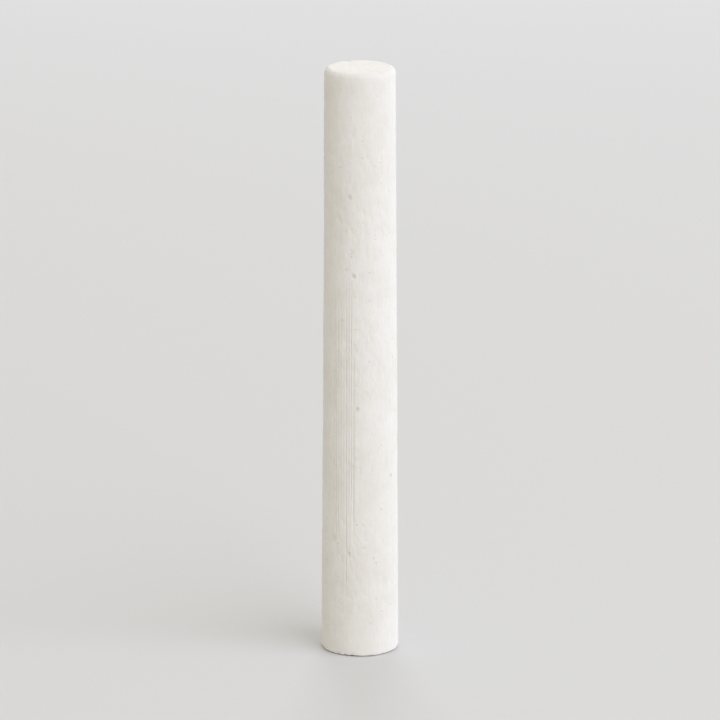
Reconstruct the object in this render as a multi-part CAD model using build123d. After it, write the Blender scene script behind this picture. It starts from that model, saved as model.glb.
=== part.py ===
"""A round stick of white board chalk, cast in one piece from a gypsum slurry.

It stands on its thick end, at the origin, and rises along +Z. The mould tapers so that the dry stick can be
pushed out, so the stick is a slim cone. The mould's closed end rounds the thin end's rim. The thick end was the
mould's open mouth, where the slurry was struck off level, so its rim is only lightly broken.
All sizes are in millimetres.
"""

from build123d import *

import os

# Driving dimensions
LENGTH = 80.0
THICK_END_DIAMETER = 10.5
THIN_END_DIAMETER = 9.5
STRUCK_RIM_RADIUS = 0.3
MOULDED_RIM_RADIUS = 0.8


def chalk_stick():
    """The whole stick as one solid: a slim cone with a rounded rim at each flat end."""
    cast = Cone(
        bottom_radius=THICK_END_DIAMETER / 2,
        top_radius=THIN_END_DIAMETER / 2,
        height=LENGTH,
        align=(Align.CENTER, Align.CENTER, Align.MIN),
    )
    rims = cast.edges().filter_by(GeomType.CIRCLE).sort_by(Axis.Z)
    struck = fillet(rims[0], STRUCK_RIM_RADIUS)
    moulded_rim = struck.edges().filter_by(GeomType.CIRCLE).sort_by(Axis.Z)[-1]
    return fillet(moulded_rim, MOULDED_RIM_RADIUS)


os.makedirs("parts", exist_ok=True)
stick = chalk_stick()
stick.label = "chalk_stick"
export_step(stick, "parts/chalk_stick.step")
print("chalk_stick: volume", round(stick.volume), "mm3, height", LENGTH, "mm")
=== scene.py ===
# %% [markdown]
# # A stick of white board chalk
#
# Board chalk is cast. Gypsum and water are stirred to a thin paste and poured into a metal mould with
# rows of tall, slightly tapered holes. The paste is scraped level with the top of the mould, it sets, and
# a plate of pins pushes the sticks out. Everything on the finished stick comes from those steps: the
# taper, the rounded rim at the closed end of the hole, the crisp rim and scraper marks at the open end,
# fine lines where the stick slid along the wall, and a few holes where air bubbles touched the mould.
#
# The lesson follows the same order. It makes a plain blank, shapes it like the mould, then presses in
# each mark with its own Displace modifier, and last gives it a dry, powdery finish.

import math

import bmesh
import bpy
import numpy as np
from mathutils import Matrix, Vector, noise


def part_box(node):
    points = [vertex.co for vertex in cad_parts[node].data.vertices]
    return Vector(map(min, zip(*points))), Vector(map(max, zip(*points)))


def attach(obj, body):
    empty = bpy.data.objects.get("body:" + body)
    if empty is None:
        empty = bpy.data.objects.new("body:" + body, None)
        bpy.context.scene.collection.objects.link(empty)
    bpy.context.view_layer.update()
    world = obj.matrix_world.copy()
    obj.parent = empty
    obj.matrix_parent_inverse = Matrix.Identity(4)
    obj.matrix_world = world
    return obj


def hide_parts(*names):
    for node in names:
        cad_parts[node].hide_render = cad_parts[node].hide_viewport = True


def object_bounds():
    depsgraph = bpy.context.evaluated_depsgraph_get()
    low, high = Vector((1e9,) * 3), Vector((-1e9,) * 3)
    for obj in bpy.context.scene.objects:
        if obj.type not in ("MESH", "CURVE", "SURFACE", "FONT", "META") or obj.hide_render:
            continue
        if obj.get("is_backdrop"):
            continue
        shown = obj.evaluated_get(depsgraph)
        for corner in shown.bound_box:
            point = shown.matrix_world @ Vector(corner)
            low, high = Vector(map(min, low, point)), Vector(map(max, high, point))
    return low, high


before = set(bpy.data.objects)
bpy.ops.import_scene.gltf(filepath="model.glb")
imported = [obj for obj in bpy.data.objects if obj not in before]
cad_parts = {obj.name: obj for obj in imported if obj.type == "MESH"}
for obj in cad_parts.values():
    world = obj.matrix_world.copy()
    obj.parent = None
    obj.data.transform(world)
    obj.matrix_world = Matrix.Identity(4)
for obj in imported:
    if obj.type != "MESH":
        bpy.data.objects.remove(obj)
cad_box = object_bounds()

# %% [markdown]
# ## Sizes
#
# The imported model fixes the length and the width, so both are read from it, and the picture can't drift
# away from the part. It can't say how much of the width is taper or how round the rims are, so that is
# written here. The thin end is 1 mm less across, which takes half a millimetre off its radius. Blender
# works in metres, and MM keeps the small numbers readable.

# %% Sizes of the stick
MM = 0.001
TAPER = 0.5 * MM
STRUCK_RIM = 0.3 * MM
MOULDED_RIM = 0.8 * MM

low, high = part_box("chalk_stick")
LENGTH = high.z - low.z
THICK_RADIUS = (high.x - low.x + high.y - low.y) / 4
THIN_RADIUS = THICK_RADIUS - TAPER
print("length", round(LENGTH / MM, 2), "mm, radius", round(THICK_RADIUS / MM, 3), "mm")

# %% [markdown]
# ## Camera
#
# Small things are usually pictured with a long lens from well back, so that their sides stay nearly
# parallel. The camera stands 70 cm away, a little to the left of the front and a little above. A lens is
# easier to choose backwards: say how much height the picture should hold at the stick, and work out the
# focal length from that. Its place is given by two angles, and a small function turns those into a
# direction.

# %% A direction from two angles
def direction(azimuth, elevation=0):
    """The unit vector that leaves the stick at these angles, in degrees. Azimuth 0 is -Y and 90 is +X."""
    turn = math.radians(azimuth)
    tilt = math.radians(elevation)
    return Vector((math.sin(turn) * math.cos(tilt), -math.cos(turn) * math.cos(tilt), math.sin(tilt)))


def aim(thing, target):
    """Turns a camera or lamp, which looks along its own -Z, towards a point."""
    thing.rotation_euler = (target - thing.location).to_track_quat("-Z", "Y").to_euler()


# %% The camera
VIEW_AZIMUTH = -29.5
VIEW_ELEVATION = 15.5
VIEW_DISTANCE = 0.70
VIEW_HEIGHT = 1.2 * LENGTH
SENSOR_MM = 36

middle = Vector((0, 0, LENGTH / 2))
bpy.ops.object.camera_add(location=middle + VIEW_DISTANCE * direction(VIEW_AZIMUTH, VIEW_ELEVATION))
camera = bpy.context.object
camera.name = "camera"
aim(camera, middle)
camera.data.sensor_width = SENSOR_MM
camera.data.lens = SENSOR_MM * VIEW_DISTANCE / VIEW_HEIGHT
bpy.context.scene.camera = camera
print("lens", round(camera.data.lens), "mm")

# %% [markdown]
# ## Choosing what to edit
#
# By hand, one clicks on the faces or edges to work on. In a script the same choice is made by where they
# are or which way they face. This helper clears the selection first, because an operator acts on
# everything that is selected, and then selects only what passes a test.

# %% Selecting by place
CLOSE = 0.01 * MM


def select_where(kind, wanted):
    """In edit mode, selects only the verts, edges or faces that pass the test, and returns how many did."""
    bpy.ops.mesh.select_mode(type={"verts": "VERT", "edges": "EDGE", "faces": "FACE"}[kind])
    bpy.ops.mesh.select_all(action="DESELECT")
    mesh = bmesh.from_edit_mesh(bpy.context.object.data)
    chosen = [part for part in getattr(mesh, kind) if wanted(part)]
    for part in chosen:
        part.select_set(True)
    bmesh.update_edit_mesh(bpy.context.object.data)
    return len(chosen)


def level_with(level):
    """A test for edges that lie flat at this height."""
    return lambda edge: all(abs(vert.co.z - level) < CLOSE for vert in edge.verts)


# %% [markdown]
# ## The blank
#
# The blank is a plain cylinder as wide as the thick end. With 256 sides its vertices are 0.13 mm apart,
# close enough for an uneven skin whose bumps are about half a millimetre across. Pulling in the ring of
# vertices at the top makes the taper that lets a casting leave its mould.

# %% Cylinder with a taper
SIDES = 256

bpy.ops.object.select_all(action="DESELECT")
bpy.ops.mesh.primitive_cylinder_add(
    vertices=SIDES, radius=THICK_RADIUS, depth=LENGTH, end_fill_type="NGON", location=middle
)
stick = bpy.context.object
stick.name = "cast_stick"
bpy.ops.object.transform_apply(location=True, rotation=False, scale=False)

bpy.ops.object.mode_set(mode="EDIT")
select_where("verts", lambda vert: vert.co.z > LENGTH / 2)
narrowing = THIN_RADIUS / THICK_RADIUS
bpy.ops.transform.resize(value=(narrowing, narrowing, 1), center_override=(0, 0, LENGTH))
print("thin end", round(2 * THIN_RADIUS / MM, 2), "mm across")

# %% [markdown]
# ## Rims
#
# The two rims differ. At the closed end of the mould the metal is rounded, so the stick's rim is too. At
# the open end the scraper leaves a nearly sharp edge, which only breaks a little as the stick is handled.
# Bevel rounds an edge by the distance given, in as many flat steps as asked for, and a profile of 0.5 is
# round.

# %% Round both rims
STRUCK_RIM_STEPS = 3
MOULDED_RIM_STEPS = 6

for level, radius, steps in ((0, STRUCK_RIM, STRUCK_RIM_STEPS), (LENGTH, MOULDED_RIM, MOULDED_RIM_STEPS)):
    found = select_where("edges", level_with(level))
    bpy.ops.mesh.bevel(offset=radius, segments=steps, profile=0.5, affect="EDGES")
    print("rim at", round(level / MM), "mm:", found, "edges rounded by", round(radius / MM, 2), "mm")

# %% [markdown]
# ## End faces
#
# A cylinder's end is one face with 256 corners, and nothing can be pressed into a single face. A ring of
# small faces is kept beside the rim with Inset, then the big face is deleted and Grid Fill closes the
# hole with a net of small squares. Its span is a quarter of the sides, so the net is as wide as it is
# deep. A fan of triangles would close the hole too, but they all meet in one point, which shows as a
# pinch as soon as the surface is uneven.

# %% Close the ends with a net
RIM_BAND = 0.15 * MM


def is_end(level):
    """A test for the one large face at this height."""
    return lambda face: len(face.verts) == SIDES and abs(face.calc_center_median().z - level) < CLOSE


for level in (0, LENGTH):
    select_where("faces", is_end(level))
    bpy.ops.mesh.inset(thickness=RIM_BAND)
    select_where("faces", is_end(level))
    bpy.ops.mesh.delete(type="ONLY_FACE")
    open_edges = select_where("edges", lambda edge: edge.is_boundary)
    bpy.ops.mesh.fill_grid(span=SIDES // 4)
    print("end at", round(level / MM), "mm: a hole with", open_edges, "edges closed")

# %% [markdown]
# ## Rows along the stick
#
# The side is still 256 faces that each run the whole length. Subdividing only the long edges cuts them
# into rows and adds nothing round the stick. It is done twice, because one Subdivide makes at most 100
# cuts. The rows are about 0.3 mm apart, which is enough for marks that mostly run lengthwise.

# %% Cut the side into rows
FIRST_CUTS = 8
SECOND_CUTS = 29


def climbs_more_than(climb):
    """A test for edges that climb more than this."""
    return lambda edge: abs(edge.verts[0].co.z - edge.verts[1].co.z) > climb


select_where("edges", climbs_more_than(LENGTH / 2))
bpy.ops.mesh.subdivide(number_cuts=FIRST_CUTS)
select_where("edges", climbs_more_than(LENGTH / 2 / (FIRST_CUTS + 1)))
bpy.ops.mesh.subdivide(number_cuts=SECOND_CUTS)
print("rows along the stick:", (FIRST_CUTS + 1) * (SECOND_CUTS + 1))

# %% [markdown]
# ## Drag lines: where they run
#
# A stick that is pushed out of its hole is scratched wherever it rubs on the wall. On the left of the
# front it rubbed hardest, and left a bundle of parallel lines there. Places round the stick are in
# degrees, and the 4.2 degrees from one line to the next are about 0.4 mm of wall. The lines all begin
# high on the stick and run out at different heights, and one goes on nearly to the foot. A seeded random
# generator moves each line a little, and picks its width, its two ends and its depth from the pairs of
# limits given here.

# %% The bundle of drag lines
SEED = 12
BUNDLE_AZIMUTH = -56
BUNDLE_LINES = 9
BUNDLE_PITCH = 4.2
BUNDLE_TOP = 60 * MM
LINE_WANDER = 0.8
LINE_HALF_WIDTHS = (1.1, 1.9)
LINE_FEET_MM = (13, 19)
LINE_TOP_DROPS_MM = (0, 12)
LINE_STRENGTHS = (0.4, 1.0)
LONG_LINE = 5
LONG_LINE_FOOT = 6 * MM
LONG_LINE_STRENGTH = 0.8

chance = np.random.default_rng(SEED)
bundle_lines = []
for number in range(BUNDLE_LINES):
    from_middle = BUNDLE_PITCH * (number - (BUNDLE_LINES - 1) / 2)
    bundle_lines.append(
        {
            "azimuth": BUNDLE_AZIMUTH + from_middle + chance.uniform(-LINE_WANDER, LINE_WANDER),
            "half_width": chance.uniform(*LINE_HALF_WIDTHS),
            "foot": chance.uniform(*LINE_FEET_MM) * MM,
            "top": BUNDLE_TOP - chance.uniform(*LINE_TOP_DROPS_MM) * MM,
            "strength": chance.uniform(*LINE_STRENGTHS),
        }
    )
bundle_lines[LONG_LINE]["foot"] = LONG_LINE_FOOT
bundle_lines[LONG_LINE]["strength"] = LONG_LINE_STRENGTH
print("drag lines in the bundle:", len(bundle_lines))

# %% [markdown]
# ## Bubble holes: where they are
#
# Air that clings to the mould leaves round, shallow holes in the skin. Three small ones are placed low on
# the front: one near the right edge, one on the left and a wider, flatter one beside the drag lines. The
# others are scattered by the same random generator, half of them over the back and half all round the
# upper part, so the lower front keeps just its own three.

# %% The bubbles
BACK_HOLES = 9
BACK_AZIMUTHS = (70, 230)
UPPER_HOLES = 9
ALL_ROUND = (0, 360)
UPPER_PART = 32 * MM
END_MARGIN = 3 * MM
HOLE_RADII_MM = (0.22, 0.40)
HOLE_DEPTHS = (0.25, 0.7)
FRONT_HOLES = (
    {"azimuth": 24.5, "height": 24.8 * MM, "radius": 0.32 * MM, "depth": 0.7},
    {"azimuth": -47.5, "height": 14.4 * MM, "radius": 0.30 * MM, "depth": 0.5},
    {"azimuth": -72.5, "height": 16.3 * MM, "radius": 0.50 * MM, "depth": 0.3},
)


def scatter(count, azimuths, lowest):
    """Random holes between these azimuths, from this height to just short of the top."""
    return [
        {
            "azimuth": chance.uniform(*azimuths),
            "height": chance.uniform(lowest, LENGTH - END_MARGIN),
            "radius": chance.uniform(*HOLE_RADII_MM) * MM,
            "depth": chance.uniform(*HOLE_DEPTHS),
        }
        for _ in range(count)
    ]


holes = list(FRONT_HOLES)
holes += scatter(BACK_HOLES, BACK_AZIMUTHS, END_MARGIN)
holes += scatter(UPPER_HOLES, ALL_ROUND, UPPER_PART)
for hole in holes:
    radius_there = THICK_RADIUS + (THIN_RADIUS - THICK_RADIUS) * hole["height"] / LENGTH
    hole["centre"] = radius_there * direction(hole["azimuth"]) + Vector((0, 0, hole["height"]))
print("bubble holes:", len(holes))

# %% [markdown]
# ## A finer net under the small marks
#
# Drag lines and bubble holes are narrower than the rest, and a groove that only one vertex lies in comes
# out as a soft fold. So the net is divided again, but only where those marks go. Across the bundle every
# edge that runs round the stick is halved, and around each hole the faces are cut in nine. With ngon
# turned off, Subdivide closes the joint between the fine and the coarse net with triangles and squares.

# %% Divide the net again where it is needed
BUNDLE_MARGIN = 3 * BUNDLE_PITCH / 2
BUNDLE_HALF_SPAN = BUNDLE_PITCH * (BUNDLE_LINES - 1) / 2 + BUNDLE_MARGIN
HOLE_MARGIN = 0.15 * MM


def degrees_apart(first, second):
    """The angle between two azimuths, from 0 to 180 degrees. Either may be an array of them."""
    return abs((first - second + 180) % 360 - 180)


def crosses_bundle(edge):
    """A test for edges that run round the stick where the drag lines are."""
    first, second = (vert.co for vert in edge.verts)
    centre = (first + second) / 2
    flat = abs(first.z - second.z) < CLOSE
    on_height = LONG_LINE_FOOT < centre.z < BUNDLE_TOP
    azimuth = math.degrees(math.atan2(centre.x, -centre.y))
    return flat and on_height and degrees_apart(azimuth, BUNDLE_AZIMUTH) < BUNDLE_HALF_SPAN


def by_a_hole(face):
    """A test for faces in a bubble hole or at its edge."""
    centre = face.calc_center_median()
    return any((centre - hole["centre"]).length < hole["radius"] + HOLE_MARGIN for hole in holes)


found = select_where("edges", crosses_bundle)
bpy.ops.mesh.subdivide(number_cuts=1, ngon=False)
print("edges halved across the bundle:", found)
found = select_where("faces", by_a_hole)
bpy.ops.mesh.subdivide(number_cuts=2, ngon=False)
print("faces divided at the holes:", found)
bpy.ops.mesh.select_all(action="SELECT")
bpy.ops.mesh.normals_make_consistent(inside=False)
bpy.ops.object.mode_set(mode="OBJECT")
print("blank:", len(stick.data.vertices), "vertices,", len(stick.data.polygons), "faces")

# %% [markdown]
# ## Where each mark goes
#
# A vertex group holds a weight from 0 to 1 for each vertex, and a Displace modifier multiplies its push
# by that weight. So a mark's place is kept in a group, and its texture says how it varies there. The
# weights are worked out from where each vertex lies: how high it is, how far out from the axis, and how
# far round.

# %% Reading the mesh and storing weights
LEAST_WEIGHT = 0.001


def places_now():
    """Where each vertex of the stick is, one row of x, y and z for each."""
    flat = np.empty(len(stick.data.vertices) * 3)
    stick.data.vertices.foreach_get("co", flat)
    return flat.reshape(-1, 3)


places = places_now()
height = places[:, 2]
out = np.hypot(places[:, 0], places[:, 1])
around = np.degrees(np.arctan2(places[:, 0], -places[:, 1]))


def rise(value, start, full):
    """0 up to start, 1 past full and a smooth climb between them. It falls if full is the smaller."""
    part = np.clip((value - start) / (full - start), 0, 1)
    return part * part * (3 - 2 * part)


def weigh(name, weights):
    """Stores the weights as a vertex group of the stick."""
    group = stick.vertex_groups.new(name=name)
    for index in np.flatnonzero(weights > LEAST_WEIGHT):
        group.add([int(index)], float(weights[index]), "REPLACE")
    print(name, "covers", round(100 * float(np.mean(weights > LEAST_WEIGHT))), "% of the vertices")


# %% [markdown]
# The rims crumble a little, the struck face is marked all over by the scraper, and the skin is rougher in
# some patches than in others. Each pair of numbers says where a weight starts and where it is full:
# heights above the foot, distances in from the side or down from the top, or for the patches, levels of
# Blender's own noise, which is read at each vertex.

# %% Groups for the rims, the struck face and the rough patches
PATCH_SIZE = 7 * MM
PATCH_NOISE = (-0.25, 0.35)
FOOT_HEIGHTS = (0.9 * MM, 0.1 * MM)
FOOT_FROM_SIDE = (1.2 * MM, 0.5 * MM)
RIM_FROM_TOP = (1.5 * MM, 0.6 * MM)
TOP_RING = 0.6 * MM
FACE_HEIGHTS = (0.05 * MM, 0)
FACE_FROM_SIDE = (STRUCK_RIM, 1 * MM)


def from_side(start, full):
    """A weight that depends on how far in from the thick end's side each vertex lies."""
    return rise(out, THICK_RADIUS - start, THICK_RADIUS - full)


def from_top(start, full):
    """A weight that depends on how far down from the top each vertex lies."""
    return rise(height, LENGTH - start, LENGTH - full)


flat_radius = THIN_RADIUS - MOULDED_RIM
patchy = np.array([noise.noise(Vector(place) / PATCH_SIZE) for place in places])
weigh("everywhere", np.ones(len(places)))
weigh("rough_patches", rise(patchy, *PATCH_NOISE))
weigh("struck_rim", rise(height, *FOOT_HEIGHTS) * from_side(*FOOT_FROM_SIDE))
weigh("moulded_rim", from_top(*RIM_FROM_TOP) * rise(out, flat_radius - TOP_RING, flat_radius))
weigh("struck_face", rise(height, *FACE_HEIGHTS) * from_side(*FACE_FROM_SIDE))

# %% [markdown]
# A drag line is a narrow groove that fades in above its foot and out below its top. A bubble leaves part
# of a ball, so its print is deepest in the middle and steep at its edge. Where two marks of a kind
# overlap, the deeper one counts. The whole side gets a group too, for lines too faint to be placed one by
# one.

# %% Groups for the lines and the holes
LINE_FADE_IN = 6 * MM
LINE_FADE_OUT = 14 * MM
SIDE_HEIGHTS = (0.1 * MM, 0.8 * MM)
SIDE_FROM_TOP = (0.5 * MM, 2 * MM)

bundle = np.zeros(len(places))
for line in bundle_lines:
    across_line = rise(degrees_apart(around, line["azimuth"]), line["half_width"], 0)
    from_foot = rise(height, line["foot"], line["foot"] + LINE_FADE_IN)
    to_top = rise(height, line["top"], line["top"] - LINE_FADE_OUT)
    bundle = np.maximum(bundle, line["strength"] * across_line * from_foot * to_top)
weigh("bundle", bundle)
weigh("side", rise(height, *SIDE_HEIGHTS) * from_top(*SIDE_FROM_TOP))

bubbles = np.zeros(len(places))
for hole in holes:
    distance = np.linalg.norm(places - np.array(hole["centre"]), axis=1)
    ball = np.sqrt(np.clip(1 - (distance / hole["radius"]) ** 2, 0, 1))
    bubbles = np.maximum(bubbles, hole["depth"] * ball)
weigh("bubble_holes", bubbles)

# %% [markdown]
# ## Pressing the marks in
#
# Each mark is one Displace modifier, applied at once. Its push is negative, so that it only ever takes
# material away: a casting can't be larger than its mould. The texture is measured with an Empty as a
# ruler. Scaling the Empty sets the size of the pattern, and scaling it more along Z stretches the pattern
# into lines.

# %% One dent
def pattern(name, start, full, detail=1):
    """A cloudy noise. It dents nothing where the noise is below start, and fully where it is above full."""
    texture = bpy.data.textures.new(name, type="CLOUDS")
    texture.noise_scale = 1
    texture.noise_depth = detail
    texture.use_color_ramp = True
    texture.color_ramp.elements[0].position = start
    texture.color_ramp.elements[1].position = full
    return texture


def dent(group, depth, texture=None, cell=(1, 1, 1)):
    """Pushes the stick in by up to depth where the group and the texture say. cell is the pattern's size."""
    bpy.ops.object.select_all(action="DESELECT")
    bpy.ops.object.empty_add()
    ruler = bpy.context.object
    ruler.scale = cell
    stick.select_set(True)
    bpy.context.view_layer.objects.active = stick
    bpy.ops.object.modifier_add(type="DISPLACE")
    press = stick.modifiers[-1]
    press.vertex_group = group
    press.strength = -depth
    press.mid_level = 0
    if texture:
        press.texture = texture
        press.texture_coords = "OBJECT"
        press.texture_coords_object = ruler
    bpy.ops.object.modifier_apply(modifier=press.name)
    bpy.data.objects.remove(ruler)


# %% [markdown]
# The broad shapes come first. The mould and the setting paste leave the stick a little wavy and its skin
# uneven, with shallow pocks in the rough patches. The sharp rim chips in small crumbs, and the round one
# only rubs. The scraper's marks are one noise again, squeezed along Y, so they run straight across the
# face.

# %% Press in the shape of the casting
waves = pattern("slow_waviness", start=0.2, full=0.8)
dent("everywhere", depth=0.10 * MM, texture=waves, cell=(9 * MM, 9 * MM, 22 * MM))

bumps = pattern("uneven_skin", start=0.25, full=0.8, detail=2)
dent("everywhere", depth=0.032 * MM, texture=bumps, cell=(0.7 * MM, 0.7 * MM, 0.9 * MM))

pocks = pattern("pocked_skin", start=0.52, full=0.72, detail=2)
dent("rough_patches", depth=0.060 * MM, texture=pocks, cell=(0.8 * MM, 0.8 * MM, 0.9 * MM))

chips = pattern("struck_rim_chips", start=0.5, full=0.75, detail=2)
dent("struck_rim", depth=0.12 * MM, texture=chips, cell=(0.6 * MM, 0.6 * MM, 0.6 * MM))

rubs = pattern("moulded_rim_rub", start=0.45, full=0.9, detail=2)
dent("moulded_rim", depth=0.10 * MM, texture=rubs, cell=(1.6 * MM, 1.6 * MM, 1.6 * MM))

scrapes = pattern("scraper_marks", start=0.3, full=0.75)
dent("struck_face", depth=0.05 * MM, texture=scrapes, cell=(6 * MM, 0.35 * MM, 6 * MM))

# %% [markdown]
# The narrow marks come last, because the finish has to know where they are: a groove or a hole looks a
# shade darker, since less light gets into it, and the material paints that shade into the colour. How far
# each vertex moves while they are pressed in is measured and kept as an attribute of the mesh, which the
# material reads. It is 0 where nothing moved and 1 at the depth that counts as full. Shape and painted
# shade then always agree.

# %% Press in the narrow marks and keep their depth
FULL_DEPTH = 0.16 * MM

before = places_now()
faint = pattern("drag_lines", start=0.45, full=0.75)
dent("side", depth=0.005 * MM, texture=faint, cell=(0.30 * MM, 0.30 * MM, 60 * MM))

broken = pattern("broken_lines", start=0.15, full=0.50)
dent("bundle", depth=0.082 * MM, texture=broken, cell=(2 * MM, 2 * MM, 9 * MM))

dent("bubble_holes", depth=0.20 * MM)

moved = np.linalg.norm(places_now() - before, axis=1)
pressed = np.clip(moved / FULL_DEPTH, 0, 1)
stick.data.attributes.new("pressed", "FLOAT", "POINT").data.foreach_set("value", pressed)
stick.vertex_groups.clear()
bpy.ops.object.shade_smooth()
print("deepest narrow mark", round(float(moved.max()) / MM, 3), "mm")

# %% [markdown]
# ## The powdery finish
#
# Chalk has no gloss at all: it is a sponge of tiny crystals, and light leaves it about equally in all
# directions. Its off-white isn't quite even either. Some patches look slightly greyer and warmer, and
# rubbed rims are dusted with fine powder, which is a more neutral white. Grooves, pores and fine lines get
# painted shade: their colour is made darker where less light would get into them. The effects that the
# mould skin and the struck face share are node groups, so that each is made once and used with its own
# values. These helpers keep the node trees short to write.

# %% Helpers for building node trees
NODE_SPACING = 220


def add_node(tree, kind, place, values=None, **settings):
    """Adds a node at a column and row, sets its settings, and fills the sockets named in values."""
    node = tree.nodes.new(kind)
    node.location = (NODE_SPACING * place[0], -NODE_SPACING * place[1])
    for name, value in settings.items():
        setattr(node, name, value)
    for socket, value in (values or {}).items():
        node.inputs[socket].default_value = value
    return node


def join(tree, source, target):
    """Links an output socket to an input socket."""
    tree.links.new(source, target)


def new_group(name, inputs, outputs):
    """A shader node group. inputs and outputs are (socket name, kind, default) and (socket name, kind)."""
    tree = bpy.data.node_groups.new(name, "ShaderNodeTree")
    for label, kind, default in inputs:
        socket = tree.interface.new_socket(name=label, in_out="INPUT", socket_type="NodeSocket" + kind)
        if default is not None:
            socket.default_value = default
    for label, kind in outputs:
        tree.interface.new_socket(name=label, in_out="OUTPUT", socket_type="NodeSocket" + kind)
    return tree


def place_group(tree, group, place, values=None):
    """Puts a node group into a material's tree and sets its values."""
    return add_node(tree, "ShaderNodeGroup", place, values, node_tree=group)


# %% [markdown]
# ### Mottling
#
# Two noises of different size are mixed, one for small spots and one for broad clouds. The result is a
# mask that a material uses to mix two close shades. The place on the stick comes in through a socket, in
# metres, so the size of a spot is about one divided by the noise's scale: 2 mm for the spots, 9 mm for
# the clouds.

# %% Mottling group
SPOT_SCALE = 450.0
CLOUD_SCALE = 110.0
CLOUD_SHARE = 0.45
MOTTLE_START = 0.35
MOTTLE_FULL = 0.65

mottling = new_group(
    "mottling",
    [("Place", "Vector", None), ("Spot scale", "Float", SPOT_SCALE), ("Cloud scale", "Float", CLOUD_SCALE)],
    [("Mask", "Float")],
)
enter = add_node(mottling, "NodeGroupInput", (0, 0))
spots = add_node(mottling, "ShaderNodeTexNoise", (1, 0), {"Detail": 3.0, "Roughness": 0.6})
clouds = add_node(mottling, "ShaderNodeTexNoise", (1, 1), {"Detail": 1.0, "Roughness": 0.5})
both = add_node(mottling, "ShaderNodeMix", (2, 0), {"Factor": CLOUD_SHARE})
spread = add_node(
    mottling, "ShaderNodeMapRange", (3, 0), {"From Min": MOTTLE_START, "From Max": MOTTLE_FULL}
)
leave = add_node(mottling, "NodeGroupOutput", (4, 0))
join(mottling, enter.outputs["Place"], spots.inputs["Vector"])
join(mottling, enter.outputs["Spot scale"], spots.inputs["Scale"])
join(mottling, enter.outputs["Place"], clouds.inputs["Vector"])
join(mottling, enter.outputs["Cloud scale"], clouds.inputs["Scale"])
join(mottling, spots.outputs["Fac"], both.inputs["A"])
join(mottling, clouds.outputs["Fac"], both.inputs["B"])
join(mottling, both.outputs["Result"], spread.inputs["Value"])
join(mottling, spread.outputs["Result"], leave.inputs["Mask"])
print("group:", mottling.name, "nodes:", len(mottling.nodes))

# %% [markdown]
# ### Pores
#
# Set gypsum is full of pores a tenth or two of a millimetre wide, too small to model. A Voronoi texture
# scatters one dot in each of its cells. Each cell also has a random colour of its own: its red picks
# which cells keep their pore, and its green how far the pore reaches from the dot, so no two are the same
# size. A small noise shifts the place first, which makes their outlines ragged.

# %% Pore group
PORE_SCALE = 2400.0
USUAL_PORE_SHARE = 0.3
WOBBLE_SCALE = 9000.0
WOBBLE = 0.12 * MM
WIDEST_PORE = 0.40
PORE_EDGE = 0.20

pores = new_group(
    "pores",
    [("Place", "Vector", None), ("Scale", "Float", PORE_SCALE), ("Share", "Float", USUAL_PORE_SHARE)],
    [("Mask", "Float")],
)
enter = add_node(pores, "NodeGroupInput", (0, 0))
wobble = add_node(pores, "ShaderNodeTexNoise", (1, 1), {"Scale": WOBBLE_SCALE, "Detail": 1.0})
shift = add_node(pores, "ShaderNodeVectorMath", (2, 1), {"Scale": WOBBLE}, operation="SCALE")
shifted = add_node(pores, "ShaderNodeVectorMath", (3, 0), operation="ADD")
dots = add_node(pores, "ShaderNodeTexVoronoi", (4, 0))
lot = add_node(pores, "ShaderNodeSeparateColor", (5, 1))
kept = add_node(pores, "ShaderNodeMath", (6, 1), operation="LESS_THAN")
reach = add_node(pores, "ShaderNodeMath", (6, 2), {1: WIDEST_PORE}, operation="MULTIPLY")
inside = add_node(pores, "ShaderNodeMath", (7, 0), operation="SUBTRACT")
edge = add_node(pores, "ShaderNodeMapRange", (8, 0), {"From Min": 0.0, "From Max": PORE_EDGE})
pore = add_node(pores, "ShaderNodeMath", (9, 0), operation="MULTIPLY")
leave = add_node(pores, "NodeGroupOutput", (10, 0))
join(pores, enter.outputs["Place"], wobble.inputs["Vector"])
join(pores, wobble.outputs["Color"], shift.inputs[0])
join(pores, enter.outputs["Place"], shifted.inputs[0])
join(pores, shift.outputs["Vector"], shifted.inputs[1])
join(pores, shifted.outputs["Vector"], dots.inputs["Vector"])
join(pores, enter.outputs["Scale"], dots.inputs["Scale"])
join(pores, dots.outputs["Color"], lot.inputs["Color"])
join(pores, lot.outputs["Red"], kept.inputs[0])
join(pores, enter.outputs["Share"], kept.inputs[1])
join(pores, lot.outputs["Green"], reach.inputs[0])
join(pores, reach.outputs["Value"], inside.inputs[0])
join(pores, dots.outputs["Distance"], inside.inputs[1])
join(pores, inside.outputs["Value"], edge.inputs["Value"])
join(pores, edge.outputs["Result"], pore.inputs[0])
join(pores, kept.outputs["Value"], pore.inputs[1])
join(pores, pore.outputs["Value"], leave.inputs["Mask"])
print("group:", pores.name, "nodes:", len(pores.nodes))

# %% [markdown]
# ### Fine lines
#
# Between the drag lines that are modelled lie many finer ones. They are a noise whose place is squeezed:
# it changes quickly in some directions and hardly at all in the others, which turns spots into lines. A
# second, broad noise fades them in and out, because a stick doesn't rub on its mould evenly. The squeeze
# is a socket, so the same group draws lines along the mould skin and scraper lines across the struck
# face.

# %% Fine line group
RUB_SCALE = 130.0
LINE_START = 0.52
LINE_FULL = 0.72
RUB_START = 0.42
RUB_FULL = 0.62

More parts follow.
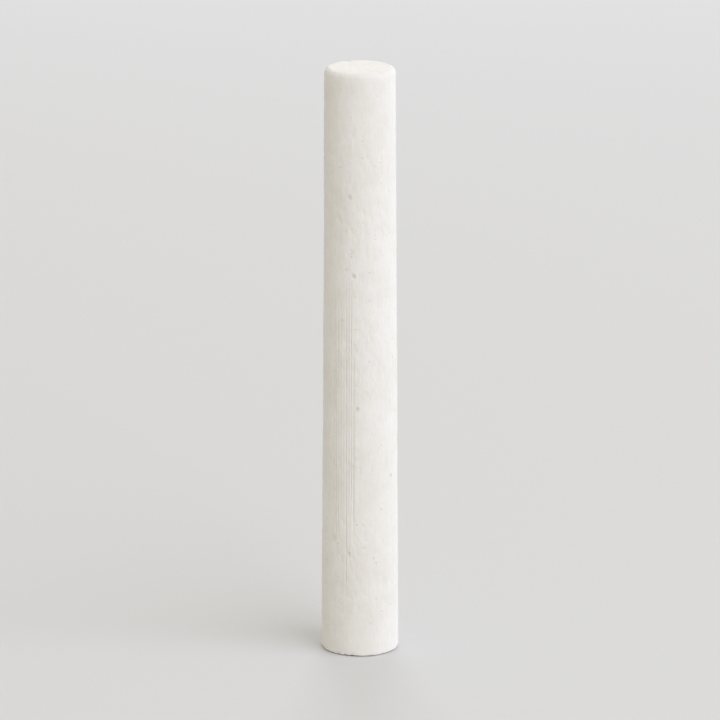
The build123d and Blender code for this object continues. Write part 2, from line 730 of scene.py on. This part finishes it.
fine_lines = new_group(
    "fine_lines",
    [("Place", "Vector", None), ("Squeeze", "Vector", (1, 1, 1)), ("Patch scale", "Float", RUB_SCALE)],
    [("Mask", "Float")],
)
enter = add_node(fine_lines, "NodeGroupInput", (0, 0))
squeezed = add_node(fine_lines, "ShaderNodeVectorMath", (1, 0), operation="MULTIPLY")
streaks = add_node(fine_lines, "ShaderNodeTexNoise", (2, 0), {"Scale": 1.0, "Detail": 2.0})
sharp = add_node(fine_lines, "ShaderNodeMapRange", (3, 0), {"From Min": LINE_START, "From Max": LINE_FULL})
rubbed = add_node(fine_lines, "ShaderNodeTexNoise", (2, 1), {"Detail": 1.0})
faded = add_node(fine_lines, "ShaderNodeMapRange", (3, 1), {"From Min": RUB_START, "From Max": RUB_FULL})
line = add_node(fine_lines, "ShaderNodeMath", (4, 0), operation="MULTIPLY")
leave = add_node(fine_lines, "NodeGroupOutput", (5, 0))
join(fine_lines, enter.outputs["Place"], squeezed.inputs[0])
join(fine_lines, enter.outputs["Squeeze"], squeezed.inputs[1])
join(fine_lines, squeezed.outputs["Vector"], streaks.inputs["Vector"])
join(fine_lines, streaks.outputs["Fac"], sharp.inputs["Value"])
join(fine_lines, enter.outputs["Place"], rubbed.inputs["Vector"])
join(fine_lines, enter.outputs["Patch scale"], rubbed.inputs["Scale"])
join(fine_lines, rubbed.outputs["Fac"], faded.inputs["Value"])
join(fine_lines, sharp.outputs["Result"], line.inputs[0])
join(fine_lines, faded.outputs["Result"], line.inputs[1])
join(fine_lines, line.outputs["Value"], leave.inputs["Mask"])
print("group:", fine_lines.name, "nodes:", len(fine_lines.nodes))

# %% [markdown]
# ### Grain
#
# Dry chalk has a faint tooth, the grain of its crystals. Two noises make it, one about 0.3 mm across and
# one three times finer. The group gives a height between 0 and 1, which a material turns into relief.

# %% Grain group
GRAIN_SCALE = 3200.0
TIMES_FINER = 3.0
FINE_SHARE = 0.35

grain = new_group(
    "grain",
    [("Place", "Vector", None), ("Scale", "Float", GRAIN_SCALE)],
    [("Height", "Float")],
)
enter = add_node(grain, "NodeGroupInput", (0, 0))
finer = add_node(grain, "ShaderNodeMath", (1, 1), {1: TIMES_FINER}, operation="MULTIPLY")
coarse = add_node(grain, "ShaderNodeTexNoise", (2, 0), {"Detail": 1.0})
fine = add_node(grain, "ShaderNodeTexNoise", (2, 1), {"Detail": 1.0})
mixed = add_node(grain, "ShaderNodeMix", (3, 0), {"Factor": FINE_SHARE})
leave = add_node(grain, "NodeGroupOutput", (4, 0))
join(grain, enter.outputs["Scale"], finer.inputs[0])
join(grain, enter.outputs["Place"], coarse.inputs["Vector"])
join(grain, enter.outputs["Scale"], coarse.inputs["Scale"])
join(grain, enter.outputs["Place"], fine.inputs["Vector"])
join(grain, finer.outputs["Value"], fine.inputs["Scale"])
join(grain, coarse.outputs["Fac"], mixed.inputs["A"])
join(grain, fine.outputs["Fac"], mixed.inputs["B"])
join(grain, mixed.outputs["Result"], leave.inputs["Height"])
print("group:", grain.name, "nodes:", len(grain.nodes))

# %% [markdown]
# ## Two finishes of the same chalk
#
# The mould skin and the struck face are the same material with different values, so one function builds
# both. It mixes the two tones by the mottling, paints shade into marks, lines and pores, and dusts the
# rims with powder. What is too small to model becomes relief in a Bump node, with every height in
# millimetres. Roughness is high all over. Diffuse Roughness makes the shader scatter light as powder
# does, so the rounded sides don't darken too fast.

# %% Colours of chalk
CHALK = (0.872, 0.857, 0.826, 1)
CHALK_SHADE = (0.822, 0.803, 0.760, 1)
POWDER = (0.862, 0.856, 0.838, 1)
# The next colour and the two amounts after it are painted shade, not the chalk's own colour: marks, pores
# and fine lines are mixed towards that darker colour where less light would reach into a hollow.
GROOVE_PAINTED_SHADE = (0.640, 0.615, 0.562, 1)
MARK_PAINTED_SHADE = 0.45
PORE_PAINTED_SHADE = 0.38
PORE_DEPTH = 0.05
print("the shade is", round(100 * (1 - CHALK_SHADE[1] / CHALK[1])), "% darker than the chalk")

# %% [markdown]
# ### Layers of colour
#
# Each layer is a Mix node that lays a colour over the ones below, as strongly as a mask says. The masks
# are made weaker, added or multiplied by Math nodes. A Mix node has hidden sockets for plain values and
# vectors under the same names, so its colour sockets are found by their identifiers.

# %% Mixing colours and masks
def mix_colours(tree, place, factor, under, over):
    """A Mix node that lays one colour over another. Each of the three may be a socket or a plain value."""
    node = add_node(tree, "ShaderNodeMix", place, data_type="RGBA")
    for socket, value in (("Factor_Float", factor), ("A_Color", under), ("B_Color", over)):
        target = next(entry for entry in node.inputs if entry.identifier == socket)
        if isinstance(value, bpy.types.NodeSocket):
            join(tree, value, target)
        else:
            target.default_value = value
    return next(entry for entry in node.outputs if entry.identifier == "Result_Color")


def scaled(tree, place, source, amount):
    """A Math node that multiplies a mask by a plain number."""
    node = add_node(tree, "ShaderNodeMath", place, {1: amount}, operation="MULTIPLY")
    join(tree, source, node.inputs[0])
    return node.outputs["Value"]


def combined(tree, place, operation, first, second):
    """A Math node that adds or multiplies two masks."""
    node = add_node(tree, "ShaderNodeMath", place, operation=operation)
    join(tree, first, node.inputs[0])
    join(tree, second, node.inputs[1])
    return node.outputs["Value"]


# %% [markdown]
# ### Powder
#
# Fine powder gathers where a stick is rubbed, and that is at its rims. The mask reads the height: it is
# strongest at each end, fades out a millimetre or two along the side, and a noise breaks it into
# blotches.

# %% Powder on the rims
FOOT_POWDER = 1.1 * MM
TOP_POWDER_START = 1.8 * MM
TOP_POWDER_FULL = 0.4 * MM
BLOTCH_SCALE = 900.0


def powder_mask(tree, spot):
    """A mask that is strongest at both rims and fades along the side, broken up by a noise."""
    start = LENGTH - TOP_POWDER_START
    full = LENGTH - TOP_POWDER_FULL
    split = add_node(tree, "ShaderNodeSeparateXYZ", (1, 6))
    foot = add_node(tree, "ShaderNodeMapRange", (2, 6), {"From Min": FOOT_POWDER, "From Max": 0.0})
    top = add_node(tree, "ShaderNodeMapRange", (2, 7), {"From Min": start, "From Max": full})
    blotches = add_node(tree, "ShaderNodeTexNoise", (2, 8), {"Scale": BLOTCH_SCALE, "Detail": 2.0})
    join(tree, spot, split.inputs["Vector"])
    join(tree, split.outputs["Z"], foot.inputs["Value"])
    join(tree, split.outputs["Z"], top.inputs["Value"])
    join(tree, spot, blotches.inputs["Vector"])
    rims = combined(tree, (3, 6), "ADD", foot.outputs["Result"], top.outputs["Result"])
    return combined(tree, (4, 6), "MULTIPLY", rims, blotches.outputs["Fac"])


# %% [markdown]
# ### The finish itself
#
# The layers of colour go on in order, from the mottled chalk up to the powder. Then the depths of the
# pores, the lines and the grain are added up for the Bump node. The painted shade and the relief of a
# pore or a line come from one mask, so the colour is darker just where it is hollow.

# %% Build a chalk finish
ROUGHNESS = 0.95
DIFFUSE_ROUGHNESS = 0.7
SPECULAR_LEVEL = 0.25


def chalk_finish(name, squeeze, line_painted_shade, line_depth, pore_share, grain_depth):
    """A chalk material. squeeze sets which way its lines run, and its depths are in millimetres."""
    material = bpy.data.materials.new(name)
    material.use_nodes = True
    tree = material.node_tree
    surface = tree.nodes["Principled BSDF"]
    surface.location = (8 * NODE_SPACING, 0)
    tree.nodes["Material Output"].location = (10 * NODE_SPACING, 0)
    surface.inputs["Roughness"].default_value = ROUGHNESS
    surface.inputs["Diffuse Roughness"].default_value = DIFFUSE_ROUGHNESS
    surface.inputs["Specular IOR Level"].default_value = SPECULAR_LEVEL

    spot = add_node(tree, "ShaderNodeTexCoord", (0, 0)).outputs["Object"]
    patches = place_group(tree, mottling, (1, 0))
    marks = add_node(tree, "ShaderNodeAttribute", (1, 1), attribute_name="pressed")
    pits = place_group(tree, pores, (1, 2), {"Share": pore_share})
    lines = place_group(tree, fine_lines, (1, 3), {"Squeeze": squeeze})
    tooth = place_group(tree, grain, (1, 4))
    for node in (patches, pits, lines, tooth):
        join(tree, spot, node.inputs["Place"])

    colour = mix_colours(tree, (3, 0), patches.outputs["Mask"], CHALK_SHADE, CHALK)
    # Painted shade: marks, pores and fine lines are mixed towards a darker colour where a hollow would get
    # less light.
    painted_mark_mask = scaled(tree, (3, 1), marks.outputs["Fac"], MARK_PAINTED_SHADE)
    colour = mix_colours(tree, (4, 0), painted_mark_mask, colour, GROOVE_PAINTED_SHADE)
    painted_pore_mask = scaled(tree, (3, 2), pits.outputs["Mask"], PORE_PAINTED_SHADE)
    colour = mix_colours(tree, (5, 0), painted_pore_mask, colour, GROOVE_PAINTED_SHADE)
    painted_line_mask = scaled(tree, (3, 3), lines.outputs["Mask"], line_painted_shade)
    colour = mix_colours(tree, (6, 0), painted_line_mask, colour, GROOVE_PAINTED_SHADE)
    colour = mix_colours(tree, (7, 0), powder_mask(tree, spot), colour, POWDER)
    join(tree, colour, surface.inputs["Base Color"])

    pit_height = scaled(tree, (4, 2), pits.outputs["Mask"], -PORE_DEPTH)
    line_height = scaled(tree, (4, 3), lines.outputs["Mask"], -line_depth)
    tooth_height = scaled(tree, (4, 4), tooth.outputs["Height"], grain_depth)
    hollows = combined(tree, (5, 3), "ADD", pit_height, line_height)
    relief = combined(tree, (6, 3), "ADD", hollows, tooth_height)
    bump = add_node(tree, "ShaderNodeBump", (7, 3), {"Strength": 1.0, "Distance": MM})
    join(tree, relief, bump.inputs["Height"])
    join(tree, bump.outputs["Normal"], surface.inputs["Normal"])
    return material


# %% [markdown]
# ### Where each finish goes
#
# On the mould skin the fine lines run along the stick and hardly show. The struck face never touched the
# mould: the scraper tore its pores open and drew plainer lines across it. A squeeze is one divided by how
# long a mark is along each axis. The faces of the flat thick end are picked by the way they face and how
# low they lie, and get the second finish.

# %% The mould skin and the struck face
LINE_WIDTH = 0.14 * MM
LINE_LENGTH = 30 * MM
SCRAPE_LENGTH = 4 * MM
FACES_DOWN = -0.9
FACE_TOP = 0.2 * MM

along = (1 / LINE_WIDTH, 1 / LINE_WIDTH, 1 / LINE_LENGTH)
across = (1 / SCRAPE_LENGTH, 1 / LINE_WIDTH, 1 / SCRAPE_LENGTH)
# The first amount in each call is how much painted shade the fine lines get; the struck face's is stronger.
skin = chalk_finish(
    "mould_skin", along, line_painted_shade=0.08, line_depth=0.010, pore_share=0.12, grain_depth=0.035
)
struck = chalk_finish(
    "struck_face", across, line_painted_shade=0.25, line_depth=0.030, pore_share=0.50, grain_depth=0.060
)

stick.data.materials.append(skin)
stick.data.materials.append(struck)
for face in stick.data.polygons:
    is_struck = face.normal.z < FACES_DOWN and face.center.z < FACE_TOP
    face.material_index = 1 if is_struck else 0
print("faces in the struck finish:", sum(face.material_index for face in stick.data.polygons))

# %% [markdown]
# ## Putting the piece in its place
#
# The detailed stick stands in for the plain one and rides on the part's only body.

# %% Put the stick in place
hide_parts("chalk_stick")
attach(stick, "root")
print("placed:", stick.name)

# %% [markdown]
# ## Floor and light
#
# A pale floor, two soft lamps and an even surround are enough. The background should look pale without
# throwing more light on the stick, so the floor and the world show the camera one thing and light the
# scene with another. The Light Path node tells those two apart.

# %% What the camera sees directly
def seen_directly(tree, row):
    """A mask that is 1 for what the camera sees, mirrored or through glass too, and 0 for other light."""
    path = add_node(tree, "ShaderNodeLightPath", (0, row))
    mirror = add_node(tree, "ShaderNodeMath", (1, row), operation="MAXIMUM")
    glass = add_node(tree, "ShaderNodeMath", (2, row), operation="MAXIMUM")
    join(tree, path.outputs["Is Camera Ray"], mirror.inputs[0])
    join(tree, path.outputs["Is Glossy Ray"], mirror.inputs[1])
    join(tree, mirror.outputs["Value"], glass.inputs[0])
    join(tree, path.outputs["Is Transmission Ray"], glass.inputs[1])
    return glass.outputs["Value"]


# %% [markdown]
# ### The floor
#
# A sheet of pale paper, far larger than the picture. Beyond the reach of the lamps it would turn dull and
# show a line where it meets the background, so from half a metre out it fades into the background's own
# colour. The fade is only for what the camera sees, and near the stick the paper takes light and shadow
# as it should.

# %% The floor
FLOOR_SIZE = 6.0
FLOOR_COLOUR = (0.680, 0.685, 0.690, 1)
BACKGROUND = (0.72, 0.72, 0.72, 1)
FADE_START = 0.5
FADE_END = 1.4

bpy.ops.object.select_all(action="DESELECT")
bpy.ops.mesh.primitive_plane_add(size=FLOOR_SIZE, location=(0, 0, 0))
floor = bpy.context.object
floor.name = "floor"
paper = bpy.data.materials.new("floor_paper")
paper.use_nodes = True
sheet = paper.node_tree
matt = sheet.nodes["Principled BSDF"]
matt.inputs["Base Color"].default_value = FLOOR_COLOUR
matt.inputs["Roughness"].default_value = 1.0
spot = add_node(sheet, "ShaderNodeTexCoord", (0, 1)).outputs["Object"]
away = add_node(sheet, "ShaderNodeVectorMath", (1, 1), operation="LENGTH")
far_off = add_node(sheet, "ShaderNodeMapRange", (2, 1), {"From Min": FADE_START, "From Max": FADE_END})
join(sheet, spot, away.inputs[0])
join(sheet, away.outputs["Value"], far_off.inputs["Value"])
fade = combined(sheet, (3, 1), "MULTIPLY", far_off.outputs["Result"], seen_directly(sheet, 2))
backdrop = add_node(sheet, "ShaderNodeEmission", (3, 2), {"Color": BACKGROUND})
blended = add_node(sheet, "ShaderNodeMixShader", (4, 1))
join(sheet, fade, blended.inputs["Fac"])
join(sheet, matt.outputs["BSDF"], blended.inputs[1])
join(sheet, backdrop.outputs["Emission"], blended.inputs[2])
join(sheet, blended.outputs["Shader"], sheet.nodes["Material Output"].inputs["Surface"])
floor.data.materials.append(paper)
floor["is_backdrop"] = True
print("floor", FLOOR_SIZE, "m square")

# %% [markdown]
# ### The lamps
#
# The key lamp stands far to the right of the camera on purpose: it grazes the left of the front, so the
# shallow lines and holes there cast shade. The fill lamp is weaker and stands behind. It keeps the back
# from looking dull, and adds only a little light to the left edge that the camera sees. Large lamps give
# soft shadows, and both are a little blue, to balance the warm surround.

# %% The soft lamps
LAMP_COLOUR = (0.80, 0.845, 1.0)
LAMP_DISTANCE = 1.3


def soft_lamp(name, turn, tilt, size, watts):
    """A square area lamp that looks at the stick. turn is its azimuth from the camera's, in degrees."""
    place = middle + LAMP_DISTANCE * direction(VIEW_AZIMUTH + turn, tilt)
    bpy.ops.object.light_add(type="AREA", location=place)
    lamp = bpy.context.object
    lamp.name = name
    lamp.data.shape = "SQUARE"
    lamp.data.size = size
    lamp.data.energy = watts
    lamp.data.color = LAMP_COLOUR
    aim(lamp, middle)
    print(name, "of", watts, "W and", size, "m")


soft_lamp("key_lamp", turn=50, tilt=35, size=1.45, watts=13.8)
soft_lamp("fill_lamp", turn=180, tilt=15, size=0.6, watts=6.5)

# %% [markdown]
# ### The surround
#
# Light also comes back from the things in a room, and it is warm. Together with the bluish lamps it
# leaves the chalk its own colour. The camera sees the plain pale background in its place.

# %% The surround
SURROUND = (0.656, 0.617, 0.526, 1)

world = bpy.data.worlds.new("studio")
bpy.context.scene.world = world
world.use_nodes = True
room = world.node_tree
room.nodes.clear()
lit = add_node(room, "ShaderNodeBackground", (3, 1), {"Color": SURROUND})
shown = add_node(room, "ShaderNodeBackground", (3, 2), {"Color": BACKGROUND})
choice = add_node(room, "ShaderNodeMixShader", (4, 0))
result = add_node(room, "ShaderNodeOutputWorld", (5, 0))
join(room, seen_directly(room, 0), choice.inputs["Fac"])
join(room, lit.outputs["Background"], choice.inputs[1])
join(room, shown.outputs["Background"], choice.inputs[2])
join(room, choice.outputs["Shader"], result.inputs["Surface"])
bpy.context.scene.view_settings.view_transform = "Standard"
print("world:", world.name)

# %% [markdown]
# ## Last checks
#
# A closed surface has two faces at every edge, and the stick has to stay inside the box of the part it
# stands for. Both are measured before the script ends, and the two boxes are printed one after the other.

# %% Measure the finished stick
check = bmesh.new()
check.from_mesh(stick.data)
open_edges = sum(len(edge.link_faces) != 2 for edge in check.edges)
print("triangles", len(check.calc_loop_triangles()), "open edges", open_edges)
print("volume", round(check.calc_volume(signed=True) / MM**3), "mm3")
check.free()

shown_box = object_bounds()
for name, box in (("CAD", cad_box), ("visual", shown_box)):
    print(name, "box, mm:", [round((high_side - low_side) / MM, 3) for low_side, high_side in zip(*box)])
